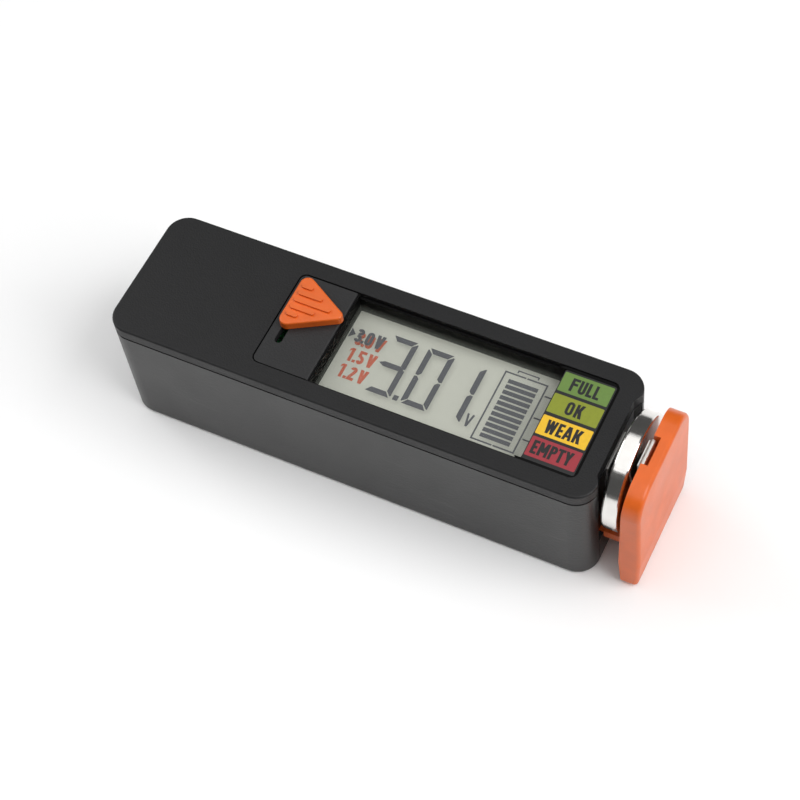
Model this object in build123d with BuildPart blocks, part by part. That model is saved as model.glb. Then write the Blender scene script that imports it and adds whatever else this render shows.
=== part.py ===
from build123d import *
from math import cos, radians, sin
import os

os.makedirs("parts", exist_ok=True)

# Battery tester, clamped on a lithium button cell.
# +X runs along the housing towards the jaw, +Z is up, millimetres.
# The origin is the middle of the housing's underside.

# ---------------------------------------------------------------- driving dimensions
LENGTH = 86.5               # housing, without the jaw
WIDTH = 25.1
HEIGHT = 25.0
CORNER_R = 3.76              # plan corners
WALL = 1.47
FLOOR = 1.63
BASE_FILLET = 0.82

HOUSING_TOP = 22.5          # rim of the lower housing
COVER_BOTTOM = 22.86        # the gap between the two is the parting groove
COVER_THICK = 1.31
SKIRT = 0.65
LIP_GAP = 0.1

POCKET_X = (-17.43, 39.59)   # rounded opening in the cover
POCKET_HALF_Y = 9.35
POCKET_R = 1.31
WINDOW_X = (-6.69, 30.2)     # clear window over the display
WINDOW_HALF_Y = 8.78
PANEL_TOP = 24.9
PANEL_GAP = 0.23            # shadow gap round the selector's panel
SEAT_TOP = 24.53            # label seat
FIT = 0.1                   # clearance between pieces that drop into each other

BAY_FLOOR_X = 42.4         # battery recess in the jaw end
BAY_HALF_Y = 7.27
BAY_MOUTH_HALF_Y = 8.94
INSERT_HALF_Y = 8.65
INSERT_GAP = 0.2            # visible line down each side of the end plate

ARM_HALF_Y = 6.8
ARM_BOTTOM = 5.22
ARM_TOP = 6.86
ARM_TAIL_X = -37.55
SLIDE_FIT = 0.12

JAW_INNER_X = 47.51
JAW_OUTER_X = 51.1
JAW_Y = -0.73                # the plate sits slightly to one side of the arm
JAW_HALF_Y = 10.37
JAW_BOTTOM = 0.49
JAW_TOP = 26.29
JAW_CORNER_R = 4.73
LIP_TOP = 7.02               # the finger lip starts to taper here
JAW_LEAN = 0.41              # the inner face leans away from the cell towards its top
LIP_TAPER = 0.41
NOTCH_HALF_Y = 2.69
NOTCH_DEPTH_X = 1.55
NOTCH_DEPTH_Z = 2.94

CELL_D = 20
CELL_X = (43.52, 46.72)
CAN_RIM_X = 43.8
CAN_SHOULDER = 0.65
CAN_WALL = 0.2
CAP_R = 8.73
CELL_Z = ARM_TOP + CELL_D / 2

KNOB_REST_Y = 3.17
KNOB_TOP = 26.49
KNOB_BACK_X = -16.33
KNOB_TIP_X = -5.82          # where the long sides would meet
KNOB_HALF_Y = 5.87
KNOB_BACK_R = 1.31
KNOB_TIP_R = 0.9
STEM_X = -14.94
STEM_SIZE = (1.06, 2.45)
SLOT_WIDTH = 1.31
SLOT_Y = (-4.65, 4.73)

BOARD_Z = (19.1, 20.41)
BOARD_X = (-21.22, 34.29)
BOARD_HALF_Y = 10.45
TONGUE_X = 37.96
TONGUE_HALF_Y = 6.86

SCREW_X = (-37.55, 37.71)     # housing screws
SCREW_Y = 9.14
BOARD_SCREWS_LEFT = (-19.59, 8.57)
BOARD_SCREWS_RIGHT = (35.84, 5.22)
RETAINER_X = (-11.43, 34.29)
RETAINER_Z = (6.96, 8.16)
RETAINER_SCREWS = ((-8.16, 9.31), (31.02, 9.31))

SPRING_ANCHOR_X = -40
SPRING_HOOK_X = -4.9
SPRING_R = 1.39
SPRING_WIRE = 0.37
METAL = 0.24                 # sheet thickness of the contacts


# ---------------------------------------------------------------- small helpers
def slab(x, y, z, mode=Mode.ADD):
    """A box between a low and a high value along each axis."""
    with Locations(((x[0] + x[1]) / 2, (y[0] + y[1]) / 2, (z[0] + z[1]) / 2)):
        Box(x[1] - x[0], y[1] - y[0], z[1] - z[0], mode=mode)


def rounded_slab(x, half_y, z, radius, mode=Mode.ADD):
    """A slab with rounded plan corners, centred on the XZ plane."""
    with BuildSketch(Plane.XY.offset(z[0])) as plan:
        with Locations(((x[0] + x[1]) / 2, 0)):
            RectangleRounded(x[1] - x[0], 2 * half_y, radius)
    extrude(plan.sketch, amount=z[1] - z[0], mode=mode)


def housing_outline(inset, z, mode=Mode.ADD):
    """The housing's plan, drawn in by an inset, between two heights."""
    half = LENGTH / 2 - inset
    rounded_slab((-half, half), WIDTH / 2 - inset, z, CORNER_R - inset, mode)


def post(x, y, radius, z, mode=Mode.ADD):
    """An upright cylinder between two heights."""
    with Locations((x, y, (z[0] + z[1]) / 2)):
        Cylinder(radius, z[1] - z[0], mode=mode)


def cut_battery_bay(z_low):
    """Takes the shallow recess with slanted cheeks out of the jaw end."""
    beyond = LENGTH / 2 + 1.63
    with BuildSketch(Plane.XY.offset(z_low)) as plan:
        with BuildLine():
            Polyline(
                (BAY_FLOOR_X, -BAY_HALF_Y),
                (LENGTH / 2, -BAY_MOUTH_HALF_Y),
                (beyond, -BAY_MOUTH_HALF_Y),
                (beyond, BAY_MOUTH_HALF_Y),
                (LENGTH / 2, BAY_MOUTH_HALF_Y),
                (BAY_FLOOR_X, BAY_HALF_Y),
                close=True,
            )
        make_face()
    extrude(plan.sketch, amount=HEIGHT + 1.63 - z_low, mode=Mode.SUBTRACT)


SCREW_SPOTS = [(x, side * SCREW_Y) for x in SCREW_X for side in (-1, 1)]
BOARD_SPOTS = [
    (spot[0], side * spot[1])
    for spot in (BOARD_SCREWS_LEFT, BOARD_SCREWS_RIGHT)
    for side in (-1, 1)
]
RETAINER_SPOTS = [(spot[0], side * spot[1]) for spot in RETAINER_SCREWS for side in (-1, 1)]

BOSS_JOINT = 11.43           # height where the housing's bosses meet the cover's
HEAD_SEAT = 4.9
HEAD_R = 1.55
SHANK_R = 0.64
CEILING = HEIGHT - COVER_THICK
ABOVE = 30                   # a height above every piece, for cuts that run out at the top

# ---------------------------------------------------------------- lower housing
with BuildPart() as lower_housing:
    housing_outline(0, (0, HOUSING_TOP))
    fillet(lower_housing.faces().sort_by(Axis.Z)[0].edges(), BASE_FILLET)
    # lap lip, one wall in from the outside, that centres the cover
    lip_inset = SKIRT + LIP_GAP
    housing_outline(lip_inset, (HOUSING_TOP, HOUSING_TOP + 0.82))
    housing_outline(WALL, (FLOOR, HOUSING_TOP + 0.82), Mode.SUBTRACT)
    # rails under the arm and guide walls beside it
    for side in (-1, 1):
        slab((-39.18, 40), sorted((side * 4.57, side * 5.88)), (FLOOR, ARM_BOTTOM - 0.05))
        guide = sorted((side * (ARM_HALF_Y + SLIDE_FIT), side * (ARM_HALF_Y + 1.39)))
        slab((-39.18, 40), guide, (FLOOR, RETAINER_Z[0] - 0.02))
    # bosses for the housing screws and the retainer screws
    for x, y in SCREW_SPOTS:
        post(x, y, 2.08, (FLOOR, BOSS_JOINT))
    for x, y in RETAINER_SPOTS:
        post(x, y, 1.55, (FLOOR, RETAINER_Z[0] - 0.02))
    # anchor post for the return spring
    post(SPRING_ANCHOR_X, 0, 0.73, (FLOOR, 7.84))
    post(SPRING_ANCHOR_X, 0, 1.06, (7.35, 7.84))
    for x, y in SCREW_SPOTS:
        post(x, y, HEAD_R + 0.16, (-0.82, HEAD_SEAT), Mode.SUBTRACT)
        post(x, y, 0.9, (HEAD_SEAT, BOSS_JOINT + 0.82), Mode.SUBTRACT)
    for x, y in RETAINER_SPOTS:
        post(x, y, 0.65, (2.45, 7.35), Mode.SUBTRACT)
    # the jaw end is open between the corners, where the end plate slides in
    insert_half = INSERT_HALF_Y + INSERT_GAP
    slab((40.73, 44.08), (-insert_half, insert_half), (0.9, ABOVE), Mode.SUBTRACT)
    slab((40.73, 41.8), (-10.37, 10.37), (1.59, HOUSING_TOP), Mode.SUBTRACT)
    slab((40.73, 44.08), (-9.96, 9.96), (HOUSING_TOP, ABOVE), Mode.SUBTRACT)
    cut_battery_bay(ARM_TOP)

# ---------------------------------------------------------------- top cover
with BuildPart() as top_cover:
    housing_outline(0, (COVER_BOTTOM, HEIGHT))
    fillet(top_cover.faces().sort_by(Axis.Z)[-1].edges(), 0.37)
    housing_outline(SKIRT, (COVER_BOTTOM, CEILING), Mode.SUBTRACT)
    # solid edge behind the notch
    slab((41.14, 43.02), (-9.8, 9.8), (COVER_BOTTOM, CEILING + 0.1))
    for x, y in SCREW_SPOTS:
        post(x, y, 1.8, (BOSS_JOINT + 0.05, CEILING + 0.1))
    for x, y in BOARD_SPOTS[:2]:
        post(x, y, 1.31, (BOARD_Z[1], CEILING + 0.1))
    for x, y in SCREW_SPOTS:
        post(x, y, 0.65, (BOSS_JOINT, 20.41), Mode.SUBTRACT)
    for x, y in BOARD_SPOTS[:2]:
        post(x, y, 0.49, (BOARD_Z[1], 23.27), Mode.SUBTRACT)
    rounded_slab(POCKET_X, POCKET_HALF_Y, (CEILING - 0.82, HEIGHT + 0.82), POCKET_R, Mode.SUBTRACT)
    cut_battery_bay(COVER_BOTTOM - 0.82)

# ---------------------------------------------------------------- end plate
with BuildPart() as end_plate:
    slab((41.71, LENGTH / 2), (-INSERT_HALF_Y, INSERT_HALF_Y), (0.98, HOUSING_TOP - 0.05))
    slab((40.82, 41.76), (-10.29, 10.29), (1.67, HOUSING_TOP - 0.05))
    slot_half = ARM_HALF_Y + SLIDE_FIT
    slab((40, 44.08), (-slot_half, slot_half), (ARM_BOTTOM - 0.12, ARM_TOP + 0.12), Mode.SUBTRACT)
    cut_battery_bay(ARM_TOP)
    # slot for the fixed contact's tail
    slab((40, 44.08), (-1.71, 1.71), (18.69, 19.06), Mode.SUBTRACT)

# ---------------------------------------------------------------- selector panel
END_WALL_X = WINDOW_X[0] - 0.28          # outer face of the bezel's wall beside the panel
PANEL_X = (POCKET_X[0] + PANEL_GAP, END_WALL_X - 0.02)
PANEL_HALF_Y = POCKET_HALF_Y - PANEL_GAP
PANEL_Z = (CEILING - 0.15, PANEL_TOP)
with BuildPart() as switch_panel:
    rounded_slab(PANEL_X, PANEL_HALF_Y, PANEL_Z, POCKET_R - PANEL_GAP)
    # square corners and a rolled edge over the window
    slab((PANEL_X[1] - 2.45, PANEL_X[1]), (-PANEL_HALF_Y, PANEL_HALF_Y), PANEL_Z)
    fillet(
        switch_panel.edges()
        .filter_by(Axis.Y)
        .group_by(Axis.Z)[-1]
        .sort_by(Axis.X)[-1],
        0.29,
    )
    slab((PANEL_X[1] - 0.98, PANEL_X[1]), (-8.78, 8.78), (22.29, CEILING - 0.1))
    # flanges under the cover's ceiling, along both long sides
    for side in (-1, 1):
        flange = sorted((side * 8.65, side * 10.37))
        slab((PANEL_X[0] + 0.33, PANEL_X[1]), flange, (22.53, CEILING - 0.1))
    with BuildSketch(Plane.XY.offset(CEILING - 0.82)):
        with Locations((STEM_X, (SLOT_Y[0] + SLOT_Y[1]) / 2)):
            SlotOverall(SLOT_Y[1] - SLOT_Y[0], SLOT_WIDTH, rotation=90)
    extrude(amount=2.45, mode=Mode.SUBTRACT)

# ---------------------------------------------------------------- display bezel
RIM_TOP = 24.73
WALL_TOP = 24.08             # beside the window, below the cover's edge
BEZEL_X = (WINDOW_X[0] - 0.98, POCKET_X[1] - FIT)
BEZEL_HALF_Y = POCKET_HALF_Y - FIT
with BuildPart() as display_bezel:
    # walls around the display, down to the board
    slab(BEZEL_X, (-BEZEL_HALF_Y, BEZEL_HALF_Y), (20.57, 22.2))
    slab((END_WALL_X, BEZEL_X[1] - 2.45), (-BEZEL_HALF_Y, BEZEL_HALF_Y), (22.12, WALL_TOP))
    slab((END_WALL_X, WINDOW_X[0] + 0.1), (-BEZEL_HALF_Y, BEZEL_HALF_Y), (WALL_TOP - 0.1, PANEL_TOP - 0.3))
    rounded_slab((28.9, BEZEL_X[1]), BEZEL_HALF_Y, (CEILING - 0.16, RIM_TOP), POCKET_R - FIT)
    slab((END_WALL_X, WINDOW_X[1]), (-10.45, 10.45), (22.53, CEILING - 0.1))
    # window
    slab(WINDOW_X, (-WINDOW_HALF_Y, WINDOW_HALF_Y), (16.33, ABOVE), Mode.SUBTRACT)
    # label seat, one step below the rim, with the display's edge running under it
    seat_half = BEZEL_HALF_Y - 0.49
    slab((WINDOW_X[1] - 0.82, BEZEL_X[1] - 0.41), (-seat_half, seat_half), (SEAT_TOP, ABOVE), Mode.SUBTRACT)
    slab((WINDOW_X[1] - 0.82, 48.98), (-WINDOW_HALF_Y, WINDOW_HALF_Y), (16.33, CEILING - 0.16), Mode.SUBTRACT)
    slab((34.45, 48.98), (-16.33, 16.33), (16.33, CEILING - 0.2), Mode.SUBTRACT)
    for x, y in BOARD_SPOTS[2:]:
        post(x, y, 1.22, (BOARD_Z[1], CEILING))
        post(x, y, 0.49, (BOARD_Z[1], 23.18), Mode.SUBTRACT)

# ---------------------------------------------------------------- label sheet
with BuildPart() as label_sheet:
    rounded_slab((30.24, 39.06), 8.73, (SEAT_TOP, SEAT_TOP + 0.15), 0.33)

# ---------------------------------------------------------------- display
GLASS_X = WINDOW_X[0] + 0.1
GLASS_HALF_Y = WINDOW_HALF_Y - 0.1
with BuildPart() as lcd_front_glass:
    slab((GLASS_X, 33.88), (-GLASS_HALF_Y, GLASS_HALF_Y), (21.76, 22.53))

with BuildPart() as lcd_rear_glass:
    slab((GLASS_X, 31.51), (-GLASS_HALF_Y, GLASS_HALF_Y), (20.82, 21.71))

with BuildPart() as lcd_reflector:
    slab((GLASS_X, 31.51), (-GLASS_HALF_Y, GLASS_HALF_Y), (20.62, 20.77))

with BuildPart() as zebra_strip:
    slab((31.92, 33.55), (-8, 8), (BOARD_Z[1], 21.76))

# ---------------------------------------------------------------- board
with BuildPart() as main_board:
    slab(BOARD_X, (-BOARD_HALF_Y, BOARD_HALF_Y), BOARD_Z)
    slab((BOARD_X[1] - 0.82, TONGUE_X), (-TONGUE_HALF_Y, TONGUE_HALF_Y), BOARD_Z)
    for x, y in BOARD_SPOTS:
        post(x, y, 0.69, (BOARD_Z[0] - 0.82, BOARD_Z[1] + 0.82), Mode.SUBTRACT)

with BuildPart() as controller_chip:
    slab((0, 7.35), (-3.67, 3.67), (BOARD_Z[0] - 1.31, BOARD_Z[0] - 0.15))
    chamfer(controller_chip.faces().sort_by(Axis.Z)[0].edges(), 0.24)
    # legs along all four sides, from the body's flank to the board
    for step in range(-5, 6):
        for side in (-1, 1):
            along = step * 0.61
            outward = sorted((side * 3.59, side * 4.41))
            slab((3.67 + along - 0.15, 3.67 + along + 0.15), outward, (BOARD_Z[0] - 0.37, BOARD_Z[0]))
            across = sorted((3.67 + side * 3.59, 3.67 + side * 4.41))
            slab(across, (along - 0.15, along + 0.15), (BOARD_Z[0] - 0.37, BOARD_Z[0]))

with BuildPart() as chip_resistors:
    for column in range(4):
        for row in (-1, 1):
            x = -16.33 + 2.94 * column
            y = row * 4.49
            slab((x - 0.82, x + 0.82), (y - 0.51, y + 0.51), (BOARD_Z[0] - 0.45, BOARD_Z[0]))

with BuildPart() as chip_capacitors:
    for row in range(4):
        y = -6.12 + 4.08 * row
        slab((13.39, 14.41), (y - 0.82, y + 0.82), (BOARD_Z[0] - 0.73, BOARD_Z[0]))

RESISTOR_Z = BOARD_Z[0] - 1.55
with BuildPart() as load_resistor:
    with BuildSketch(Plane.YZ.offset(17.96)):
        with Locations((5.71, RESISTOR_Z)):
            Circle(1.31)
    extrude(amount=7.35)
    fillet(load_resistor.edges().filter_by(GeomType.CIRCLE), 0.41)
    # leads, bent down into the board
    slab((16.65, 26.61), (5.51, 5.92), (RESISTOR_Z - 0.2, RESISTOR_Z + 0.2))
    for x in (16.65, 26.2):
        slab((x, x + 0.41), (5.51, 5.92), (RESISTOR_Z - 0.2, BOARD_Z[0]))

with BuildPart() as boost_inductor:
    post(21.63, -4.9, 2.37, (BOARD_Z[0] - 0.57, BOARD_Z[0]))
    post(21.63, -4.9, 1.8, (BOARD_Z[0] - 2.45, BOARD_Z[0] - 0.49))
    post(21.63, -4.9, 2.37, (BOARD_Z[0] - 3.02, BOARD_Z[0] - 2.45))

# ---------------------------------------------------------------- selector
KNOB_FLOOR = PANEL_TOP + 0.06
RIB_TOP = KNOB_TOP + 0.34
# five ribs, long ones in the middle: offset from the knob's centre and their two ends
RIBS = ((2.88, -15.51, -13.47), (1.45, -15.51, -11.06), (0, -15.51, -8.82), (-1.45, -15.51, -11.06),
        (-2.88, -15.51, -13.47))
with BuildPart() as selector_knob:
    with BuildSketch(Plane.XY.offset(KNOB_FLOOR)) as knob_outline:
        with BuildLine():
            Polyline(
                (KNOB_BACK_X, KNOB_REST_Y - KNOB_HALF_Y),
                (KNOB_TIP_X, KNOB_REST_Y),
                (KNOB_BACK_X, KNOB_REST_Y + KNOB_HALF_Y),
                close=True,
            )
        make_face()
        fillet(knob_outline.vertices().sort_by(Axis.X)[:2], KNOB_BACK_R)
        fillet(knob_outline.vertices().sort_by(Axis.X)[-1], KNOB_TIP_R)
    extrude(amount=KNOB_TOP - KNOB_FLOOR)
    fillet(selector_knob.faces().sort_by(Axis.Z)[-1].edges(), 0.33)
    for offset_y, x_low, x_high in RIBS:
        with BuildSketch(Plane.XY.offset(KNOB_TOP - 0.05)):
            with Locations(((x_low + x_high) / 2, KNOB_REST_Y + offset_y)):
                SlotOverall(x_high - x_low, 0.82)
        extrude(amount=RIB_TOP - KNOB_TOP + 0.05)
    stem_x = (STEM_X - STEM_SIZE[0] / 2, STEM_X + STEM_SIZE[0] / 2)
    stem_y = (KNOB_REST_Y - STEM_SIZE[1] / 2, KNOB_REST_Y + STEM_SIZE[1] / 2)
    slab(stem_x, stem_y, (22.45, KNOB_FLOOR + 0.1))

CARRIAGE_TOP = CEILING - 0.16
with BuildPart() as selector_carriage:
    slab((-17.06, -8.65), (KNOB_REST_Y - 2.61, KNOB_REST_Y + 2.61), (22.29, CARRIAGE_TOP))
    slab(
        (stem_x[0] - 0.03, stem_x[1] + 0.03),
        (stem_y[0] - 0.03, stem_y[1] + 0.03),
        (22.04, 23.67),
        Mode.SUBTRACT,
    )

with BuildPart() as selector_wiper:
    for y in (KNOB_REST_Y - 1.31, KNOB_REST_Y + 1.31):
        slab((-14.29, -9.39), (y - 0.49, y + 0.49), (22.12, 22.29))
        # sprung finger bowed down to the board
        with BuildSketch(Plane.XZ.offset(-(y + 0.49))):
            with BuildLine():
                Polyline(
                    (-14.29, 22.29),
                    (-14.29, 22.12),
                    (-12.16, BOARD_Z[1] + 0.03),
                    (-11.51, BOARD_Z[1] + 0.03),
                    (-9.39, 22.12),
                    (-9.39, 22.29),
                    (-11.59, BOARD_Z[1] + 0.2),
                    (-12.08, BOARD_Z[1] + 0.2),
                    close=True,
                )
            make_face()
        extrude(amount=0.98)
    slab((-14.29, -13.47), (KNOB_REST_Y - 1.8, KNOB_REST_Y + 1.8), (22.12, 22.29))

# ---------------------------------------------------------------- jaw and arm
STRIP_Y = (2.45, 4.57)
with BuildPart() as jaw_slide:
    # plate seen from the side: it thickens down to the crease, and the finger lip below tapers
    with BuildSketch(Plane.XZ.offset(-16.33)) as jaw_profile:
        with BuildLine():
            Polyline(
                (JAW_INNER_X + JAW_LEAN, JAW_TOP),
                (JAW_OUTER_X - 0.2, JAW_TOP),
                (JAW_OUTER_X, LIP_TOP),
                (JAW_OUTER_X - LIP_TAPER, JAW_BOTTOM),
                (JAW_INNER_X + LIP_TAPER, JAW_BOTTOM),
                (JAW_INNER_X, LIP_TOP),
                close=True,
            )
        make_face()
    extrude(amount=ABOVE)
    # plate seen along the slide: large upper corners, small lower ones
    with BuildSketch(Plane.YZ.offset(JAW_INNER_X - 0.82)) as jaw_outline:
        with BuildLine():
            Polyline(
                (JAW_Y - JAW_HALF_Y, JAW_BOTTOM),
                (JAW_Y + JAW_HALF_Y, JAW_BOTTOM),
                (JAW_Y + JAW_HALF_Y, JAW_TOP),
                (JAW_Y - JAW_HALF_Y, JAW_TOP),
                close=True,
            )
        make_face()
        fillet(jaw_outline.vertices().group_by(Axis.Y)[-1], JAW_CORNER_R)
        fillet(jaw_outline.vertices().group_by(Axis.Y)[0], 0.98)
    extrude(amount=8.16, mode=Mode.INTERSECT)
    outer_edges = [
        edge
        for edge in jaw_slide.edges()
        if edge.center().X > JAW_OUTER_X - 0.49 and abs(edge.center().Z - LIP_TOP) > 0.16
    ]
    fillet(outer_edges, 0.69)
    # notch for the rolled end of the contact
    slab(
        (JAW_INNER_X - 0.82, JAW_INNER_X + NOTCH_DEPTH_X),
        (JAW_Y - NOTCH_HALF_Y, JAW_Y + NOTCH_HALF_Y),
        (JAW_TOP - NOTCH_DEPTH_Z, JAW_TOP + 0.82),
        Mode.SUBTRACT,
    )
    # arm, with a long slot for the spring and a hole for its hook
    slab((ARM_TAIL_X, JAW_INNER_X + 0.41), (-ARM_HALF_Y, ARM_HALF_Y), (ARM_BOTTOM, ARM_TOP))
    slab((ARM_TAIL_X - 0.82, SPRING_HOOK_X - 2.45), (-1.88, 1.88), (0, 9.8), Mode.SUBTRACT)
    post(SPRING_HOOK_X, 0, 0.82, (0, 9.8), Mode.SUBTRACT)
    # groove for the contact strip
    slab(
        (ARM_TAIL_X + 0.78, JAW_INNER_X),
        (STRIP_Y[0] - 0.05, STRIP_Y[1] + 0.05),
        (ARM_TOP - METAL - 0.02, ARM_TOP + 0.82),
        Mode.SUBTRACT,
    )

ROLL_X = JAW_INNER_X + 0.45
ROLL_Z = JAW_TOP - 1.43
ROLL_R = 0.51
LEAF_X = JAW_INNER_X - METAL - 0.02
with BuildPart() as jaw_contact:
    # rolled upper end, lying in the notch
    with BuildSketch(Plane.XZ.offset(-2.49 - JAW_Y)):
        with Locations((ROLL_X, ROLL_Z)):
            Circle(ROLL_R)
            Circle(ROLL_R - METAL, mode=Mode.SUBTRACT)
    extrude(amount=4.98)
    # leaf down the jaw's inner face, bowed out to press on the cell
    with BuildSketch(Plane.XZ.offset(-2.49 - JAW_Y)):
        with BuildLine():
            Polyline(
                (LEAF_X, ROLL_Z),
                (LEAF_X, CELL_Z + 4.49),
                (CELL_X[1] + 0.02, CELL_Z + 0.82),
                (CELL_X[1] + 0.02, CELL_Z - 0.82),
                (LEAF_X, CELL_Z - 4.49),
                (LEAF_X, 9.8),
                (LEAF_X + METAL, 9.8),
                (LEAF_X + METAL, CELL_Z - 4.41),
                (CELL_X[1] + METAL + 0.03, CELL_Z - 0.78),
                (CELL_X[1] + METAL + 0.03, CELL_Z + 0.78),
                (LEAF_X + METAL, CELL_Z + 4.41),
                (LEAF_X + METAL, ROLL_Z),
                close=True,
            )
        make_face()
    extrude(amount=4.98)
    # narrow strip that carries on down the jaw and along the arm
    slab((LEAF_X, LEAF_X + METAL), (STRIP_Y[0] - 1.22, STRIP_Y[1]), (8.98, 9.96))
    slab((LEAF_X, LEAF_X + METAL), STRIP_Y, (ARM_TOP - METAL, 9.8))
    slab((ARM_TAIL_X + 0.82, LEAF_X + METAL), STRIP_Y, (ARM_TOP - METAL, ARM_TOP))

# ---------------------------------------------------------------- slide retainer and wiper
with BuildPart() as slide_retainer:
    slab(RETAINER_X, (-10.86, 10.86), RETAINER_Z)
    slab((RETAINER_X[0] - 0.82, SPRING_HOOK_X + 1.22), (-1.88, 1.88), (6.53, 8.98), Mode.SUBTRACT)
    slab((16.73, 26.53), (1.8, 5.22), (6.53, 8.98), Mode.SUBTRACT)
    for x, y in RETAINER_SPOTS:
        post(x, y, 0.78, (6.53, 8.98), Mode.SUBTRACT)

RUB_Z = ARM_TOP + 0.03
with BuildPart() as arm_wiper:
    slab((11.43, 17.14), (2.61, 4.41), (RETAINER_Z[1], RETAINER_Z[1] + METAL))
    slab((11.43, 11.43 + METAL), (2.61, 4.41), (RETAINER_Z[1], BOARD_Z[0]))
    with BuildSketch(Plane.XZ.offset(-4.41)):
        with BuildLine():
            Polyline(
                (17.06, RETAINER_Z[1]),
                (22.04, RUB_Z),
                (23.02, RUB_Z),
                (24.65, RUB_Z + 0.98),
                (24.49, RUB_Z + 1.18),
                (22.86, RUB_Z + METAL),
                (22.12, RUB_Z + METAL),
                (17.14, RETAINER_Z[1] + METAL),
                close=True,
            )
        make_face()
    extrude(amount=1.8)

# ---------------------------------------------------------------- fixed contact
with BuildPart() as fixed_contact:
    slab((BAY_FLOOR_X, BAY_FLOOR_X + METAL), (-3.67, 3.67), (11.84, 21.22))
    with BuildSketch(Plane.XZ):
        with BuildLine():
            Polyline(
                (BAY_FLOOR_X + METAL - 0.05, CELL_Z),
                (BAY_FLOOR_X + METAL - 0.05, CELL_Z + 3.27),
                (CELL_X[0] - 0.24, CELL_Z + 1.22),
                (CELL_X[0] - 0.02, CELL_Z + 0.73),
                (CELL_X[0] - 0.02, CELL_Z),
                close=True,
            )
        make_face()
    revolve(axis=Axis((0, 0, CELL_Z), (1, 0, 0)))
    # tail through the end plate to the board
    slab((35.43, BAY_FLOOR_X + METAL), (-1.63, 1.63), (18.76, 19))
    slab((35.43, 37.06), (-0.82, 0.82), (18.94, BOARD_Z[0]))

# ---------------------------------------------------------------- return spring
SPRING_Z = (ARM_BOTTOM + ARM_TOP) / 2
COILS = 36
COIL_X = (SPRING_ANCHOR_X + 2.45, SPRING_HOOK_X - 2.61)
COIL_PITCH = (COIL_X[1] - COIL_X[0]) / COILS
with BuildPart() as return_spring:
    # close-wound body: a tube with one ridge for each turn
    with BuildSketch(Plane.XZ) as spring_profile:
        with BuildLine():
            ridge = [(COIL_X[0], SPRING_Z + SPRING_R - SPRING_WIRE)]
            for turn in range(COILS):
                start = COIL_X[0] + turn * COIL_PITCH
                ridge.append((start, SPRING_Z + SPRING_R - 0.16))
                ridge.append((start + COIL_PITCH / 2, SPRING_Z + SPRING_R))
            ridge.append((COIL_X[1], SPRING_Z + SPRING_R - 0.16))
            ridge.append((COIL_X[1], SPRING_Z + SPRING_R - SPRING_WIRE))
            Polyline(*ridge, close=True)
        make_face()
    revolve(axis=Axis((0, 0, SPRING_Z), (1, 0, 0)))
    # end loops, round the anchor post and through the arm's hook hole
    for loop_x, reach_x in ((SPRING_ANCHOR_X, COIL_X[0]), (SPRING_HOOK_X, COIL_X[1])):
        toward = 1 if reach_x > loop_x else -1
        start_x = loop_x + toward * 0.82
        bar = sorted((start_x, reach_x + toward * 0.24))
        slab(bar, (-0.18, 0.18), (SPRING_Z + 0.98, SPRING_Z + 1.31))
    with Locations((SPRING_ANCHOR_X, 0, SPRING_Z + 1.14)):
        Cylinder(1.18, 0.33)
        Cylinder(0.82, 0.33, mode=Mode.SUBTRACT)
    slab((SPRING_HOOK_X - 0.18, SPRING_HOOK_X + 0.18), (-0.18, 0.18), (ARM_BOTTOM - 0.16, SPRING_Z + 1.31))
    slab((SPRING_HOOK_X - 0.82, SPRING_HOOK_X), (-0.18, 0.18), (SPRING_Z + 0.98, SPRING_Z + 1.31))

# ---------------------------------------------------------------- button cell
CELL_R = CELL_D / 2
CELL_AXIS = Axis((0, 0, CELL_Z), (1, 0, 0))


def turned_ring(points):
    """Turns a closed outline, given as x and radius, about the cell's axis."""
    with BuildSketch(Plane.XZ) as profile:
        with BuildLine():
            Polyline(*[(x, CELL_Z + r) for x, r in points], close=True)
        make_face()
    revolve(profile.sketch, axis=CELL_AXIS)


with BuildPart() as cell_can:
    # cup with a flat positive face, and a rounded shoulder crimped in over the gasket
    shoulder = [
        (CAN_RIM_X + CAN_SHOULDER * (1 - cos(radians(turn))), CELL_R - CAN_SHOULDER * (1 - sin(radians(turn))))
        for turn in range(90, -1, -15)
    ]
    turned_ring((
        (CELL_X[1], 0),
        (CELL_X[1], CELL_R - 0.37),
        (CELL_X[1] - 0.13, CELL_R - 0.13),
        (CELL_X[1] - 0.37, CELL_R),
        *shoulder,
        (CAN_RIM_X + 0.03, CELL_R - CAN_SHOULDER - 0.15),
        (CAN_RIM_X + 0.24, CELL_R - CAN_SHOULDER - 0.15),
        (CAN_RIM_X + 0.24, CELL_R - CAN_SHOULDER + 0.1),
        (CAN_RIM_X + CAN_SHOULDER, CELL_R - CAN_WALL),
        (CELL_X[1] - CAN_WALL, CELL_R - CAN_WALL),
        (CELL_X[1] - CAN_WALL, 0),
    ))

with BuildPart() as cell_gasket:
    turned_ring((
        (CAN_RIM_X + 0.06, CAP_R + 0.02),
        (CAN_RIM_X + 0.06, CELL_R - CAN_SHOULDER - 0.16),
        (CAN_RIM_X + 0.28, CELL_R - CAN_SHOULDER - 0.15),
        (CAN_RIM_X + 0.28, CELL_R - CAN_SHOULDER + 0.05),
        (CAN_RIM_X + CAN_SHOULDER, CELL_R - CAN_WALL - 0.06),
        (CELL_X[1] - CAN_WALL - 0.02, CELL_R - CAN_WALL - 0.06),
        (CELL_X[1] - CAN_WALL - 0.02, CAP_R + 0.26),
        (CAN_RIM_X + 0.73, CAP_R + 0.26),
        (CAN_RIM_X + 0.73, CAP_R + 0.02),
    ))

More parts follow.
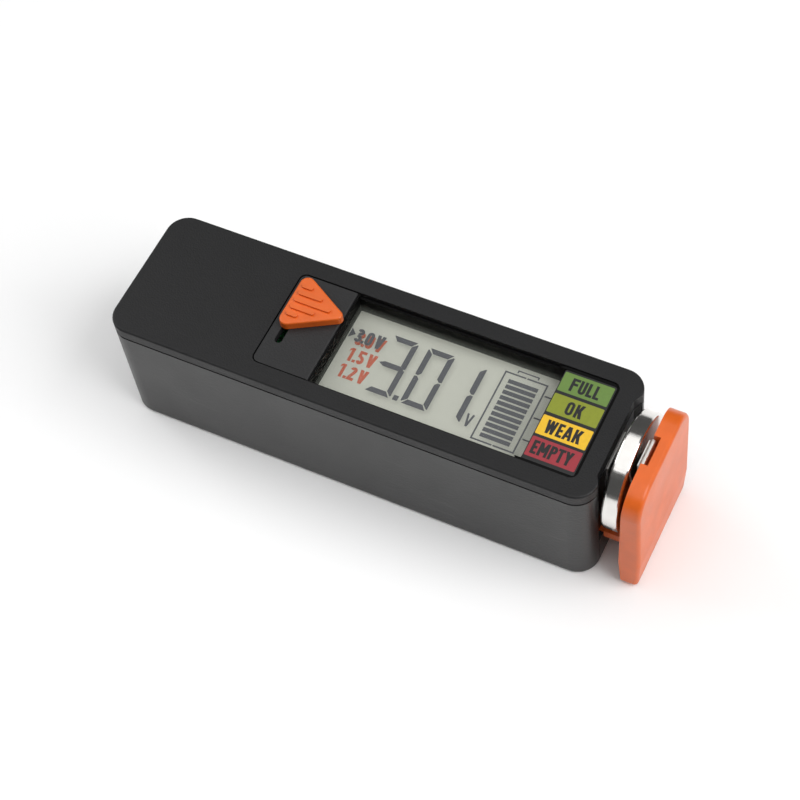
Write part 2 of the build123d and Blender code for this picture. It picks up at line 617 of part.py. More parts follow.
with BuildPart() as cell_cap:
    # negative cap, filled with the pressed electrodes
    turned_ring((
        (CELL_X[0], 0),
        (CELL_X[0], CAP_R - 0.49),
        (CELL_X[0] + 0.16, CAP_R - 0.15),
        (CELL_X[0] + 0.37, CAP_R),
        (CAN_RIM_X + 0.78, CAP_R),
        (CAN_RIM_X + 0.78, CAP_R + 0.24),
        (CELL_X[1] - CAN_WALL - 0.02, CAP_R + 0.24),
        (CELL_X[1] - CAN_WALL - 0.02, 0),
    ))


# ---------------------------------------------------------------- screws
def screw(x, y, head_z, head_r, shank_r, tip_z):
    """A pan-head screw driven upwards (tip above the head) or downwards, with a cross recess."""
    up = 1 if tip_z > head_z[1] else -1
    seat_z, outer_z = (head_z[1], head_z[0]) if up == 1 else (head_z[0], head_z[1])
    post(x, y, head_r, head_z)
    post(x, y, shank_r, sorted((seat_z, tip_z)))
    recess = sorted((outer_z - up * 0.1, outer_z + up * 0.49))
    arm = head_r * 0.55
    slab((x - arm, x + arm), (y - 0.16, y + 0.16), recess, Mode.SUBTRACT)
    slab((x - 0.16, x + 0.16), (y - arm, y + arm), recess, Mode.SUBTRACT)


with BuildPart() as housing_screws:
    for x, y in SCREW_SPOTS:
        screw(x, y, (HEAD_SEAT - 1.06, HEAD_SEAT), HEAD_R, SHANK_R, 17.96)

with BuildPart() as board_screws:
    for x, y in BOARD_SPOTS:
        screw(x, y, (BOARD_Z[0] - 0.82, BOARD_Z[0]), 1.06, 0.47, 22.86)

with BuildPart() as retainer_screws:
    for x, y in RETAINER_SPOTS:
        screw(x, y, (RETAINER_Z[1], RETAINER_Z[1] + 0.9), 1.22, 0.64, 2.94)

# ---------------------------------------------------------------- export
PIECES = {
    "lower_housing": lower_housing,
    "top_cover": top_cover,
    "end_plate": end_plate,
    "switch_panel": switch_panel,
    "display_bezel": display_bezel,
    "label_sheet": label_sheet,
    "lcd_front_glass": lcd_front_glass,
    "lcd_rear_glass": lcd_rear_glass,
    "lcd_reflector": lcd_reflector,
    "zebra_strip": zebra_strip,
    "main_board": main_board,
    "controller_chip": controller_chip,
    "chip_resistors": chip_resistors,
    "chip_capacitors": chip_capacitors,
    "load_resistor": load_resistor,
    "boost_inductor": boost_inductor,
    "selector_knob": selector_knob,
    "selector_carriage": selector_carriage,
    "selector_wiper": selector_wiper,
    "jaw_slide": jaw_slide,
    "jaw_contact": jaw_contact,
    "slide_retainer": slide_retainer,
    "arm_wiper": arm_wiper,
    "fixed_contact": fixed_contact,
    "return_spring": return_spring,
    "cell_can": cell_can,
    "cell_gasket": cell_gasket,
    "cell_cap": cell_cap,
    "housing_screws": housing_screws,
    "board_screws": board_screws,
    "retainer_screws": retainer_screws,
}
for name, piece in PIECES.items():
    piece.part.label = name
    export_step(piece.part, f"parts/{name}.step")
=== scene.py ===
import math
import bmesh
import bpy
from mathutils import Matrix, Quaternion, Vector


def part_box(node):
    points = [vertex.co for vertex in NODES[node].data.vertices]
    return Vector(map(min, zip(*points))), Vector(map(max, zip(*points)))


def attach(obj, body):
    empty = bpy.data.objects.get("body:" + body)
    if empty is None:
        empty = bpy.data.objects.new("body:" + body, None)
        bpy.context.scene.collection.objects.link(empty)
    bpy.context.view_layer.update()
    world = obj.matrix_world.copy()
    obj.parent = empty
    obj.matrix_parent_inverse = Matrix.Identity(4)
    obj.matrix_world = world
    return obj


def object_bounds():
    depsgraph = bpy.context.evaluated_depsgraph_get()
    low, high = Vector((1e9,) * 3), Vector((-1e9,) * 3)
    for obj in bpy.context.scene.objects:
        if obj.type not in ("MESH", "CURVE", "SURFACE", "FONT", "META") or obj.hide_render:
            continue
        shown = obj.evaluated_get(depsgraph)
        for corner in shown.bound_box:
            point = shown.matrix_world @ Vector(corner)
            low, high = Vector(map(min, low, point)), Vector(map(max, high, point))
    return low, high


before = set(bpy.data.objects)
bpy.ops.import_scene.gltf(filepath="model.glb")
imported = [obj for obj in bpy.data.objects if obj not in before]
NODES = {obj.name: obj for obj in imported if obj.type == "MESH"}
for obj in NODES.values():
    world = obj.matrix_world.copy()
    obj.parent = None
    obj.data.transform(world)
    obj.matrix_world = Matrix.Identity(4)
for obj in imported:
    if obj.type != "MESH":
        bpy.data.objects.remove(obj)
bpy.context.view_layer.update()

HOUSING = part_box("lower_housing")
# the flat drawings below count this many units along the housing, so a unit is a little under a millimetre
UNITS_LONG = 106
UNIT = (HOUSING[1].x - HOUSING[0].x) / UNITS_LONG


# ---------------------------------------------------------------- small helpers
def linear(red, green, blue):
    """The scene-linear value of an ordinary 0-255 colour."""
    return tuple(
        c / 12.92 if c <= 0.04045 else ((c + 0.055) / 1.055) ** 2.4
        for c in (red / 255, green / 255, blue / 255)
    )


def shade(colour, factor):
    """A colour made darker or lighter."""
    return tuple(min(c * factor, 1.0) for c in colour)


class Surface:
    """A material under construction, with its nodes in object coordinates (metres)."""

    def __init__(self, name):
        self.material = bpy.data.materials.new(name)
        self.material.use_nodes = True
        self.tree = self.material.node_tree
        self.shader = self.tree.nodes["Principled BSDF"]
        self.place = self.add("ShaderNodeTexCoord").outputs["Object"]
        self.bump_height = None

    def add(self, kind, **settings):
        """A node with its properties set."""
        node = self.tree.nodes.new(kind)
        for key, value in settings.items():
            setattr(node, key, value)
        return node

    def link(self, start, end):
        """Joins two sockets."""
        self.tree.links.new(start, end)

    def stretched(self, x, y, z):
        """The coordinates, scaled along each axis."""
        mapping = self.add("ShaderNodeMapping")
        mapping.inputs["Scale"].default_value = (x, y, z)
        self.link(self.place, mapping.inputs["Vector"])
        return mapping.outputs["Vector"]

    def noise(self, scale, detail=3.0, rough=0.55, vector=None):
        """Smooth noise whose features are about 1/scale metres wide."""
        node = self.add("ShaderNodeTexNoise")
        node.inputs["Scale"].default_value = scale
        node.inputs["Detail"].default_value = detail
        node.inputs["Roughness"].default_value = rough
        self.link(vector or self.place, node.inputs["Vector"])
        return node.outputs["Fac"]

    def cells(self, scale, feature="F1", vector=None):
        """Distance to the nearest of many scattered points."""
        node = self.add("ShaderNodeTexVoronoi", feature=feature)
        node.inputs["Scale"].default_value = scale
        self.link(vector or self.place, node.inputs["Vector"])
        return node.outputs["Distance"]

    def spread(self, value, low, high, to_low, to_high):
        """Maps a value's range to another range."""
        node = self.add("ShaderNodeMapRange", clamp=True)
        for name, number in (("From Min", low), ("From Max", high), ("To Min", to_low), ("To Max", to_high)):
            node.inputs[name].default_value = number
        self.link(value, node.inputs["Value"])
        return node.outputs["Result"]

    def mixed(self, factor, first, second):
        """Two colours mixed by a value."""
        node = self.add("ShaderNodeMix", data_type="RGBA")
        self.link(factor, node.inputs["Factor"])
        for socket, colour in ((node.inputs[6], first), (node.inputs[7], second)):
            if isinstance(colour, tuple):
                socket.default_value = (*colour, 1.0)
            else:
                self.link(colour, socket)
        return node.outputs[2]

    def calc(self, operation, first, second):
        """Arithmetic on two values."""
        node = self.add("ShaderNodeMath", operation=operation)
        for socket, value in zip(node.inputs, (first, second)):
            if isinstance(value, (int, float)):
                socket.default_value = value
            else:
                self.link(value, socket)
        return node.outputs["Value"]

    def colour(self, value):
        """The base colour, plain or from nodes."""
        if isinstance(value, tuple):
            self.shader.inputs["Base Color"].default_value = (*value, 1.0)
        else:
            self.link(value, self.shader.inputs["Base Color"])

    def roughness(self, value):
        """The roughness, plain or from nodes."""
        if isinstance(value, (int, float)):
            self.shader.inputs["Roughness"].default_value = value
        else:
            self.link(value, self.shader.inputs["Roughness"])

    def set(self, **values):
        """Plain shader values, named with underscores for spaces."""
        for key, value in values.items():
            self.shader.inputs[key.replace("_", " ")].default_value = value

    def bump(self, height, depth, strength=1.0):
        """Relief from a height value. Several reliefs add up."""
        node = self.add("ShaderNodeBump")
        node.inputs["Distance"].default_value = depth
        node.inputs["Strength"].default_value = strength
        self.link(height, node.inputs["Height"])
        if self.bump_height is not None:
            self.link(self.bump_height, node.inputs["Normal"])
        self.bump_height = node.outputs["Normal"]
        self.link(self.bump_height, self.shader.inputs["Normal"])


# ---------------------------------------------------------------- materials
def plastic(name, colour, grain, depth, rough, scuffs=0.06, specular=0.5):
    """Moulded plastic: spark-eroded grain, cloudy colour, uneven gloss and a few faint scuffs."""
    s = Surface(name)
    cloud = s.noise(260, 4)
    s.colour(s.mixed(s.spread(cloud, 0.3, 0.7, 0, 1), shade(colour, 0.93), shade(colour, 1.07)))
    smudge = s.spread(s.noise(55, 5, 0.65), 0.3, 0.7, rough - 0.05, rough + 0.05)
    scratch = s.noise(900, 2, 0.5, s.stretched(0.06, 1, 1))
    scuff = s.spread(scratch, 0.66, 0.74, 0, scuffs)
    s.roughness(s.calc("SUBTRACT", smudge, scuff))
    s.bump(s.noise(grain, 2, 0.6), depth)
    s.bump(s.spread(s.cells(grain * 0.8), 0.0, 0.6, 0, 1), depth * 0.5)
    s.set(Specular_IOR_Level=specular)
    return s.material


def make_plastics():
    """The moulded plastics."""
    return {
        "housing": plastic("housing_plastic", linear(30, 30, 30), 3400, 0.000035, 0.36),
        "cover": plastic("cover_plastic", linear(22, 22, 23), 3800, 0.00004, 0.48, 0.06, 0.35),
        "panel": plastic("panel_plastic", linear(31, 31, 32), 3400, 0.00004, 0.5, 0.06, 0.42),
        "bezel": plastic("bezel_plastic", linear(8, 8, 8), 5200, 0.00001, 0.6, 0.06, 0.1),
        "inner": plastic("inner_plastic", linear(46, 46, 48), 3000, 0.00003, 0.5),
        "orange": plastic("orange_plastic", linear(218, 98, 30), 4200, 0.000012, 0.34, 0.02),
        "gasket": plastic("gasket_nylon", linear(26, 26, 28), 5000, 0.000008, 0.42),
        "chip": plastic("chip_epoxy", linear(30, 30, 32), 6000, 0.00001, 0.62),
    }


def make_glass():
    """Display glass: thin, clear and nearly without tint."""
    s = Surface("display_glass")
    s.colour(s.mixed(s.noise(90, 3), linear(186, 192, 180), linear(196, 202, 190)))
    s.roughness(s.spread(s.noise(140, 5, 0.7), 0.35, 0.7, 0.04, 0.12))
    s.set(Alpha=0.035)
    return s.material


def make_reflector():
    """Grey-green rear sheet of the display, with its fine satin speckle."""
    s = Surface("reflector_sheet")
    speckle = s.spread(s.noise(7000, 2, 0.7), 0.3, 0.7, 0, 1)
    s.colour(s.mixed(speckle, linear(187, 188, 176), linear(195, 196, 185)))
    s.roughness(s.spread(s.noise(2600), 0.3, 0.7, 0.5, 0.62))
    s.bump(speckle, 0.000006)
    return s.material


def make_segment_ink():
    """Dark grey-blue of a switched-on display segment."""
    s = Surface("segment_dark")
    s.colour(s.mixed(s.noise(5200, 2), linear(58, 59, 66), linear(66, 67, 75)))
    s.roughness(s.spread(s.noise(3000), 0.3, 0.7, 0.45, 0.55))
    return s.material


def ink(name, colour, gloss=0.4, grain=5200):
    """Screen-printed ink under a clear film: slight mottling and a faint dot pattern."""
    s = Surface(name)
    mottle = s.spread(s.noise(1500, 4, 0.65), 0.32, 0.68, 0, 1)
    s.colour(s.mixed(mottle, shade(colour, 0.94), shade(colour, 1.05)))
    s.roughness(s.spread(s.noise(800, 4), 0.3, 0.7, gloss - 0.06, gloss + 0.06))
    s.bump(s.noise(grain, 2), 0.000006)
    return s.material


def metal(name, colour, rough, brush=(1, 1, 1), relief=0.000004):
    """Plated metal with brush marks, drawn out along the axes with a small factor."""
    s = Surface(name)
    marks = s.noise(5200, 4, 0.7, s.stretched(*brush))
    stain = s.noise(240, 4, 0.6)
    s.colour(s.mixed(s.spread(stain, 0.35, 0.7, 0, 1), shade(colour, 0.92), shade(colour, 1.03)))
    s.roughness(s.spread(marks, 0.3, 0.7, rough - 0.05, rough + 0.08))
    s.bump(marks, relief)
    s.set(Metallic=1.0)
    return s.material


def make_metals():
    """The plated metals."""
    return {
        "cell": metal("cell_nickel", (0.84, 0.82, 0.79), 0.13, (0.04, 1, 1), 0.000002),
        "contact": metal("contact_nickel", (0.74, 0.73, 0.7), 0.3, (1, 0.05, 0.05)),
        "spring": metal("spring_steel", (0.6, 0.6, 0.6), 0.34, (1, 0.2, 0.2)),
        "screw": metal("screw_zinc", (0.62, 0.62, 0.6), 0.33, (0.6, 0.6, 1)),
    }


def make_board():
    """Green solder mask over copper tracks."""
    s = Surface("board_mask")
    tracks = s.add("ShaderNodeTexBrick", offset=0.5)
    tracks.inputs["Scale"].default_value = 300
    tracks.inputs["Mortar Size"].default_value = 0.06
    s.link(s.place, tracks.inputs["Vector"])
    wander = s.spread(s.noise(420, 1), 0.49, 0.51, 0, 1)
    copper = s.calc("MULTIPLY", tracks.outputs["Fac"], wander)
    s.colour(s.mixed(copper, linear(24, 96, 52), linear(44, 130, 72)))
    s.roughness(s.spread(s.noise(500), 0.3, 0.7, 0.3, 0.42))
    s.bump(copper, 0.00003)
    return s.material


def make_zebra():
    """Striped rubber connector: thin conducting and insulating layers."""
    s = Surface("zebra_rubber")
    stripes = s.add("ShaderNodeTexWave", bands_direction="Y")
    stripes.inputs["Scale"].default_value = 900
    s.link(s.place, stripes.inputs["Vector"])
    s.colour(s.mixed(stripes.outputs["Fac"], linear(28, 28, 30), linear(120, 120, 122)))
    s.roughness(s.spread(s.noise(2000), 0.3, 0.7, 0.55, 0.7))
    return s.material


def make_ceramic(name, colour):
    """Sintered body of a small electronic part."""
    s = Surface(name)
    s.colour(s.mixed(s.noise(4000, 4), shade(colour, 0.88), shade(colour, 1.1)))
    s.roughness(s.spread(s.noise(3000), 0.3, 0.7, 0.4, 0.6))
    s.bump(s.noise(9000, 3), 0.00001)
    return s.material


def make_floor_paper():
    """Matte white paper."""
    s = Surface("floor_paper")
    s.colour(s.mixed(s.noise(30, 4), linear(250, 250, 250), linear(253, 253, 253)))
    s.roughness(0.9)
    s.bump(s.noise(1800, 4), 0.00001)
    return s.material


PLASTIC = make_plastics()
METAL = make_metals()
GLASS = make_glass()
REFLECTOR = make_reflector()
SEGMENT = make_segment_ink()
BLACK_INK = ink("black_ink", linear(22, 21, 22), 0.42)
CERAMIC = make_ceramic("capacitor_ceramic", linear(170, 140, 105))
FERRITE = make_ceramic("inductor_ferrite", linear(58, 58, 62))

FINISH = {
    "lower_housing": PLASTIC["housing"],
    "end_plate": PLASTIC["housing"],
    "top_cover": PLASTIC["cover"],
    "switch_panel": PLASTIC["panel"],
    "display_bezel": PLASTIC["bezel"],
    "label_sheet": BLACK_INK,
    "lcd_front_glass": GLASS,
    "lcd_rear_glass": GLASS,
    "lcd_reflector": REFLECTOR,
    "zebra_strip": make_zebra(),
    "main_board": make_board(),
    "controller_chip": PLASTIC["chip"],
    "chip_resistors": PLASTIC["chip"],
    "chip_capacitors": CERAMIC,
    "load_resistor": CERAMIC,
    "boost_inductor": FERRITE,
    "selector_knob": PLASTIC["orange"],
    "selector_carriage": PLASTIC["inner"],
    "selector_wiper": METAL["contact"],
    "jaw_slide": PLASTIC["orange"],
    "jaw_contact": METAL["contact"],
    "slide_retainer": PLASTIC["inner"],
    "arm_wiper": METAL["contact"],
    "fixed_contact": METAL["contact"],
    "return_spring": METAL["spring"],
    "cell_can": METAL["cell"],
    "cell_gasket": PLASTIC["gasket"],
    "cell_cap": METAL["cell"],
    "housing_screws": METAL["screw"],
    "board_screws": METAL["screw"],
    "retainer_screws": METAL["screw"],
}
for node_name, finish in FINISH.items():
    slots = NODES[node_name].data.materials
    slots.clear()
    slots.append(finish)


# ---------------------------------------------------------------- flat printed shapes
STEP = 0.000001                                     # height from one plate to the next, in metres
STEP_COUNT = 6


def extruded(name, outlines, bottom, thick):
    """One mesh of flat plates, in drawing units. Each plate is a little taller than the last, so that
    plates which cross share no face."""
    mesh = bpy.data.meshes.new(name)
    build = bmesh.new()
    for index, outline in enumerate(outlines):
        top = (bottom + thick) * UNIT + STEP * (index % STEP_COUNT)
        low = [build.verts.new((x * UNIT, y * UNIT, bottom * UNIT)) for x, y in outline]
        high = [build.verts.new((x * UNIT, y * UNIT, top)) for x, y in outline]
        build.faces.new(list(reversed(low)))
        build.faces.new(high)
        for i in range(len(outline)):
            j = (i + 1) % len(outline)
            build.faces.new((low[i], low[j], high[j], high[i]))
    bmesh.ops.recalc_face_normals(build, faces=build.faces)
    build.to_mesh(mesh)
    build.free()
    piece = bpy.data.objects.new(name, mesh)
    bpy.context.scene.collection.objects.link(piece)
    return piece


def printed(name, outlines, bottom, thick, finish, body="tester"):
    """A printed piece, on its body and with its finish."""
    piece = extruded(name, outlines, bottom, thick)
    piece.data.materials.append(finish)
    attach(piece, body)
    return piece


def rectangle(x_low, x_high, y_low, y_high):
    """Corners of an upright rectangle."""
    return [(x_low, y_low), (x_high, y_low), (x_high, y_high), (x_low, y_high)]


def rounded(x_low, x_high, y_low, y_high, radius, steps=5):
    """A rectangle with rounded corners."""
    centres = (
        (x_high - radius, y_high - radius, 0),
        (x_low + radius, y_high - radius, 90),
        (x_low + radius, y_low + radius, 180),
        (x_high - radius, y_low + radius, 270),
    )
    outline = []
    for cx, cy, start in centres:
        outline += arc(cx, cy, radius, radius, start, start + 90, steps)
    return outline


def arc(cx, cy, rx, ry, start, end, steps=8):
    """Points along an ellipse, between two angles in degrees."""
    turns = [math.radians(start + (end - start) * i / steps) for i in range(steps + 1)]
    return [(cx + rx * math.cos(a), cy + ry * math.sin(a)) for a in turns]


def band(path, width):
    """A line of even width along a path, with mitred corners."""
    left, right = [], []
    for i, point in enumerate(path):
        here = Vector(point)
        before = Vector(path[max(i - 1, 0)])
        after = Vector(path[min(i + 1, len(path) - 1)])
        into = (here - before).normalized() if i else (after - here).normalized()
        out = (after - here).normalized() if i < len(path) - 1 else into
        normal = Vector((-into.y - out.y, into.x + out.x)).normalized()
        reach = width / 2 / max(normal.dot(Vector((-into.y, into.x))), 0.35)
        left.append(tuple(here + normal * reach))
        right.append(tuple(here - normal * reach))
    return left + right[::-1]


def ring(path, width):
    """A closed line of even width, as its two halves."""
    half = len(path) // 2
    return [band(path[: half + 1], width), band(path[half:] + path[:1], width)]


def leg(x_top, x_bottom, y_top, y_bottom, width):
    """A slanted stroke, cut level at both ends."""
    half = width / 2
    return [
        (x_bottom - half, y_bottom),
        (x_bottom + half, y_bottom),
        (x_top + half, y_top),
        (x_top - half, y_top),
    ]


# ---------------------------------------------------------------- condensed lettering
def glyph(letter, w, t):
    """Outlines of one character in a box w wide and 1 high, with strokes t thick."""
    h = t / 2
    m = w / 2
    stem = rectangle(0, t, 0, 1)
    foot = rectangle(t, w, 0, t)
    head = rectangle(t, w, 1 - t, 1)
    bowl = m - h
    if letter == "F":
        return [stem, head, rectangle(t, w * 0.88, 0.46, 0.46 + t)]
    if letter == "L":
        return [stem, foot]
    if letter == "E":
        return [stem, head, foot, rectangle(t, w * 0.9, 0.5 - h, 0.5 + h)]
    if letter == "T":
        return [rectangle(0, w, 1 - t, 1), rectangle(m - h, m + h, 0, 1 - t)]
    if letter == "U":
        return [band([(h, 1)] + arc(m, bowl + h, bowl, bowl, 180, 360) + [(w - h, 1)], t)]
    if letter in "O0":
        top = arc(m, 1 - h - bowl, bowl, bowl, 0, 180)
        return ring(top + arc(m, h + bowl, bowl, bowl, 180, 360), t)
    if letter == "K":
        arm = leg(w - h * 1.1, t * 1.05, 1, 0.36, t * 1.15)
        return [stem, arm, leg(w * 0.5, w - h * 1.1, 0.62, 0, t * 1.15)]
    if letter == "V":
        return [leg(h * 1.1, m, 1, 0, t * 1.1), leg(w - h * 1.1, m, 1, 0, t * 1.1)]
    if letter == "W":
        x = [h, w * 0.29, m, w * 0.71, w - h]
        tops = (1, 0, 0.92, 0, 1)
        pairs = zip(x, x[1:], tops, tops[1:])
        strokes = []
        for start, end, start_y, end_y in pairs:
            falls = start_y > end_y
            strokes.append(leg(start, end, 1 if falls else 0, 0 if falls else end_y, t * 0.95))
        return strokes
    if letter == "A":
        cross = rectangle(w * 0.24, w * 0.76, 0.2, 0.2 + t * 0.9)
        return [leg(m - h * 0.3, h, 1, 0, t), leg(m + h * 0.3, w - h, 1, 0, t), cross]
    if letter == "M":
        right = rectangle(w - t, w, 0, 1)
        return [stem, right, leg(h * 1.2, m, 1, 0.28, t), leg(w - h * 1.2, m, 1, 0.28, t)]
    if letter == "P":
        loop = [(t, 1 - h)] + arc(w - h - 0.12, 0.72, 0.12, 0.28 - h, 90, -90) + [(t, 0.44 + h)]
        return [stem, band(loop, t)]
    if letter == "Y":
        trunk = rectangle(m - h, m + h, 0, 0.45)
        return [leg(h * 1.1, m, 1, 0.42, t * 1.1), leg(w - h * 1.1, m, 1, 0.42, t * 1.1), trunk]
    if letter == "1":
        flag = [(0, 0.7), (w - t, 0.84), (w - t, 1), (w - t * 1.1, 1), (0, 0.88)]
        return [rectangle(w - t, w, 0, 1), flag]
    if letter == "2":
        hook = arc(m, 1 - h - bowl, bowl, bowl, 175, -20) + [(h * 1.25, t * 0.9)]
        return [band(hook, t), rectangle(0, w, 0, t)]
    if letter == "3":
        upper = arc(m - 0.02, 0.76, bowl + 0.02, 0.24 - h, 165, -90) + [(m * 0.75, 0.52)]
        lower = [(m * 0.75, 0.52)] + arc(m - 0.02, 0.27, bowl + 0.02, 0.27 - h, 90, -165)
        return [band(upper, t), band(lower, t)]
    if letter == "5":
        bowl_line = [(t * 0.6, 0.6)] + arc(m, 0.31, bowl, 0.31 - h, 90, -165)
        return [rectangle(0, w, 1 - t, 1), rectangle(0, t * 0.95, 0.5, 1 - t), band(bowl_line, t)]
    return [rectangle(0, w, 0, w)]


def words(spots, y_base, height, stroke):
    """Outlines for characters placed along X, each given as a character, its left edge and its right edge."""
    shapes = []
    for letter, x_low, x_high in spots:
        for outline in glyph(letter, (x_high - x_low) / height, stroke / height):
            shapes.append([(x_low + x * height, y_base + y * height) for x, y in outline])
    return shapes


# ---------------------------------------------------------------- display
PANE_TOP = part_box("lcd_rear_glass")[1].z / UNIT       # the segments lie on the rear pane
SHEET_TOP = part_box("lcd_reflector")[1].z / UNIT
INK_GAP = 0.005                                     # keeps a print just off the sheet under it
SEGMENT_THICK = 0.035
INK_THICK = 0.02
DIGIT_TOP = 7.17                                    # the digits' lines, across the display
DIGIT_BOTTOM = -6.7
DIGIT_MIDDLE = 0.25
BAR = 1.17                                          # width of a segment
GAP = 0.1                                           # between two segments


def digit(x_low, x_high, lit):
    """The lit bars of a seven-segment digit: a top, b and c right, d bottom, e and f left, g middle."""
    top = DIGIT_TOP
    low = DIGIT_BOTTOM
    mid = DIGIT_MIDDLE
    half = BAR / 2
    edge = 0.32
    shapes = {
        "a": [
            (x_low + edge, top), (x_high - edge, top),
            (x_high - BAR - GAP, top - BAR), (x_low + BAR + GAP, top - BAR),
        ],
        "d": [
            (x_low + edge, low), (x_high - edge, low),
            (x_high - BAR - GAP, low + BAR), (x_low + BAR + GAP, low + BAR),
        ],
        "g": [
            (x_low + GAP, mid), (x_low + BAR, mid - half), (x_high - BAR, mid - half),
            (x_high - GAP * 3, mid), (x_high - BAR, mid + half), (x_low + BAR, mid + half),
        ],
    }
    for name, outer, inward in (("b", x_high, -1), ("f", x_low, 1)):
        shapes[name] = [
            (outer, mid + GAP * 2),
            (outer, top - edge * 1.6),
            (outer + inward * edge * 0.6, top - edge - GAP),
            (outer + inward * BAR, top - BAR - GAP * 1.6),
            (outer + inward * BAR, mid + half + GAP),
            (outer + inward * half, mid + GAP),
        ]
    for name, outer, inward in (("c", x_high, -1), ("e", x_low, 1)):
        shapes[name] = [
            (outer, mid - GAP * 2),
            (outer, low + edge * 1.6),
            (outer + inward * edge * 0.6, low + edge + GAP),
            (outer + inward * BAR, low + BAR + GAP * 1.6),
            (outer + inward * BAR, mid - half - GAP),
            (outer + inward * half, mid - GAP),
        ]
    return [shapes[name] for name in lit]


def segments(name, outlines):
    """Switched-on display segments, in the gap between the panes."""
    piece = printed(name, outlines, PANE_TOP + INK_GAP, SEGMENT_THICK, SEGMENT)
    piece.visible_shadow = False


VOLT_ROW_Y = (2.75, -1.31, -5.37)                   # base lines of 3.0 V, 1.5 V and 1.2 V
VOLT_HEIGHT = 3.2
VOLT_STROKE = 0.66


def volt_row(first, second, y_base):
    """One line of the voltage list, such as 1.5 V."""
    spots = [(".", -4.5, -3.86), (second, -3.75, -2.25), ("V", -1.72, 0.12)]
    spots.insert(0, (first, -5.95, -4.85 if first == "1" else -4.5))
    return words(spots, y_base, VOLT_HEIGHT, VOLT_STROKE)


segments("lcd_digit_three", digit(1.05, 6.83, "abcdg"))
segments("lcd_digit_zero", digit(9.02, 14.8, "abcdef"))
segments("lcd_digit_one", digit(16.05, 21.83, "bc"))
segments("lcd_decimal_point", [rectangle(7.36, 8.44, DIGIT_BOTTOM, DIGIT_BOTTOM + 1.16)])
segments("lcd_unit_mark", words([("V", 22.5, 24.1)], -6.7, 2.95, 0.4))
segments("lcd_voltage_mark", volt_row("3", "0", VOLT_ROW_Y[0]))
segments("lcd_pointer", [[(-7.4, 3.2), (-6.15, 4.38), (-7.4, 5.6)]])

GAUGE_X = (25.2, 34.45)
GAUGE_Y = (-8.75, 8.08)
GAUGE_LINE = 0.34
GAUGE_MIDDLE = 29.85
NECK_X = (27.7, 32.05)
BAR_X = (26.67, 33.0)
FIRST_BAR_Y = 6.09
BAR_PITCH = 1.325
BAR_HEIGHT = 0.92
BAR_COUNT = 11
TICKS_Y = (5.5, 0.21, -5.08)


def gauge_outline():
    """The battery symbol's frame, open for a moment in the middle of its top and bottom, and its terminal."""
    inset = GAUGE_LINE / 2
    x_low, x_high = GAUGE_X[0] + inset, GAUGE_X[1] - inset
    y_low, y_high = GAUGE_Y[0] + inset, GAUGE_Y[1] - inset
    left = [(GAUGE_MIDDLE - 0.12, y_high), (x_low, y_high), (x_low, y_low), (GAUGE_MIDDLE - 0.12, y_low)]
    right = [(GAUGE_MIDDLE + 0.12, y_high), (x_high, y_high), (x_high, y_low), (GAUGE_MIDDLE + 0.12, y_low)]
    neck = [(NECK_X[0], y_high + 0.5), (NECK_X[0], 8.95), (NECK_X[1], 8.95), (NECK_X[1], y_high + 0.5)]
    return [band(left, GAUGE_LINE), band(right, GAUGE_LINE), band(neck, GAUGE_LINE * 0.8)]


def gauge_bars():
    """The stack of charge bars."""
    rows = []
    for index in range(BAR_COUNT):
        y = FIRST_BAR_Y - index * BAR_PITCH
        rows.append(rectangle(*BAR_X, y - BAR_HEIGHT / 2, y + BAR_HEIGHT / 2))
    return rows


segments("lcd_gauge_outline", gauge_outline())
segments("lcd_gauge_bars", gauge_bars())
segments("lcd_gauge_ticks", [rectangle(34.7, 37.6, y - 0.17, y + 0.17) for y in TICKS_Y])

ORANGE_INK = ink("orange_ink", linear(184, 64, 14), 0.5)
for row_name, row, base_y in (
    ("print_three_volts", ("3", "0"), VOLT_ROW_Y[0]),
    ("print_one_and_a_half_volts", ("1", "5"), VOLT_ROW_Y[1]),
    ("print_rechargeable_volts", ("1", "2"), VOLT_ROW_Y[2]),
):
    printed(row_name, volt_row(*row, base_y), SHEET_TOP + INK_GAP, INK_THICK, ORANGE_INK)

# ---------------------------------------------------------------- state labels
LABEL_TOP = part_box("label_sheet")[1].z / UNIT
LABEL_X = (37.25, 47.58)
LABEL_HEIGHT = 4.5
LABEL_CORNER_R = 0.22
LETTER_HEIGHT = 3.08
LETTER_STROKE = 0.58
LETTER_THICK = 0.012
# name, near edge, colour, distance of the letters from that edge, and each letter's left and right end
LABELS = (
    ("full", 5.79, (98, 128, 58), 0.66, (
        ("F", 39.3, 40.86), ("U", 41.05, 42.5), ("L", 42.75, 43.98), ("L", 44.18, 45.42),
    )),
    ("ok", 0.57, (130, 139, 34), 0.66, (
        ("O", 40.55, 42.1), ("K", 42.45, 44.05),
    )),
    ("weak", -4.72, (228, 182, 34), 0.7, (
        ("W", 38.6, 40.8), ("E", 41.0, 42.22), ("A", 42.35, 44.15), ("K", 44.35, 45.95),
    )),
    ("empty", -9.88, (150, 42, 52), 0.72, (
        ("E", 38.0, 39.2), ("M", 39.42, 41.38), ("P", 41.62, 43.02), ("T", 43.12, 44.56), ("Y", 44.62, 46.26),
    )),
)
for label_name, y_low, rgb, lift, spots in LABELS:
    field = rounded(*LABEL_X, y_low, y_low + LABEL_HEIGHT, LABEL_CORNER_R)
    colour_ink = ink("ink_" + label_name, linear(*rgb), 0.4)
    printed("label_field_" + label_name, [field], LABEL_TOP, INK_THICK, colour_ink)
    letters = words(spots, y_low + lift, LETTER_HEIGHT, LETTER_STROKE)
    printed("label_text_" + label_name, letters, LABEL_TOP + INK_THICK, LETTER_THICK, BLACK_INK)


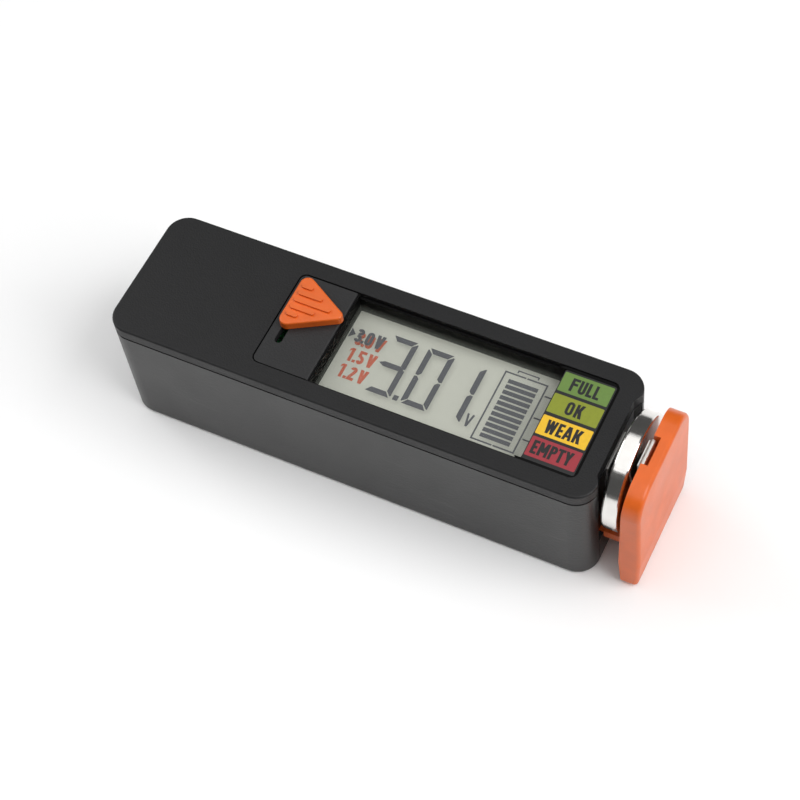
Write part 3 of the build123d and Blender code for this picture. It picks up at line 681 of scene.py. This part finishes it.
# ---------------------------------------------------------------- stage
def make_floor():
    """A wide sheet of pale paper under the object."""
    mesh = bpy.data.meshes.new("floor")
    build = bmesh.new()
    bmesh.ops.create_grid(build, x_segments=8, y_segments=8, size=3.0)
    build.to_mesh(mesh)
    build.free()
    floor = bpy.data.objects.new("floor", mesh)
    floor.location.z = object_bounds()[0].z - 0.00002
    mesh.materials.append(make_floor_paper())
    bpy.context.scene.collection.objects.link(floor)


LIGHT_AIM = Vector((0, 0, 0.015))


def softbox(name, position, size, energy):
    """A square soft light, aimed at the middle of the object. Metres and watts."""
    lamp = bpy.data.lights.new(name, "AREA")
    lamp.shape = "SQUARE"
    lamp.size = size
    lamp.energy = energy
    holder = bpy.data.objects.new(name, lamp)
    holder.location = position
    holder.rotation_mode = "QUATERNION"
    holder.rotation_quaternion = (LIGHT_AIM - Vector(position)).to_track_quat("-Z", "Y")
    bpy.context.scene.collection.objects.link(holder)


def make_world():
    """A dim, even room."""
    world = bpy.data.worlds.new("studio")
    world.use_nodes = True
    background = world.node_tree.nodes["Background"]
    background.inputs["Color"].default_value = (1, 1, 1, 1)
    background.inputs["Strength"].default_value = 0.08
    bpy.context.scene.world = world


def make_lights():
    """A wide softbox overhead and one at each end, so that the long edges see a dark room."""
    make_world()
    softbox("overhead", (0.0, -0.02, 0.6), 0.9, 2.9)
    softbox("end", (0.5, 0.0, 0.48), 0.5, 3.2)
    softbox("left", (-0.65, 0.05, 0.4), 0.5, 2.0)


CAMERA_AZIMUTH = 34.044
CAMERA_ELEVATION = 57.364
CAMERA_ROLL = -9.486
CAMERA_AIM = Vector((4.886, -0.211, 15.3)) * UNIT
CAMERA_DISTANCE = 405.23 * UNIT
CAMERA_LENS = 89.908


def make_camera():
    """The camera, on a sphere round its aim point."""
    azimuth = math.radians(CAMERA_AZIMUTH)
    elevation = math.radians(CAMERA_ELEVATION)
    back = Vector((
        math.sin(azimuth) * math.cos(elevation),
        -math.cos(azimuth) * math.cos(elevation),
        math.sin(elevation),
    ))
    lens = bpy.data.cameras.new("camera")
    lens.lens = CAMERA_LENS
    lens.sensor_width = 36.0
    lens.clip_start = 0.01
    lens.clip_end = 20.0
    camera = bpy.data.objects.new("camera", lens)
    camera.location = CAMERA_AIM + back * CAMERA_DISTANCE
    camera.rotation_mode = "QUATERNION"
    roll = Quaternion((0, 0, 1), math.radians(CAMERA_ROLL))
    camera.rotation_quaternion = (-back).to_track_quat("-Z", "Y") @ roll
    bpy.context.scene.collection.objects.link(camera)
    bpy.context.scene.camera = camera


make_floor()
make_lights()
make_camera()
bpy.context.scene.view_settings.view_transform = "Standard"
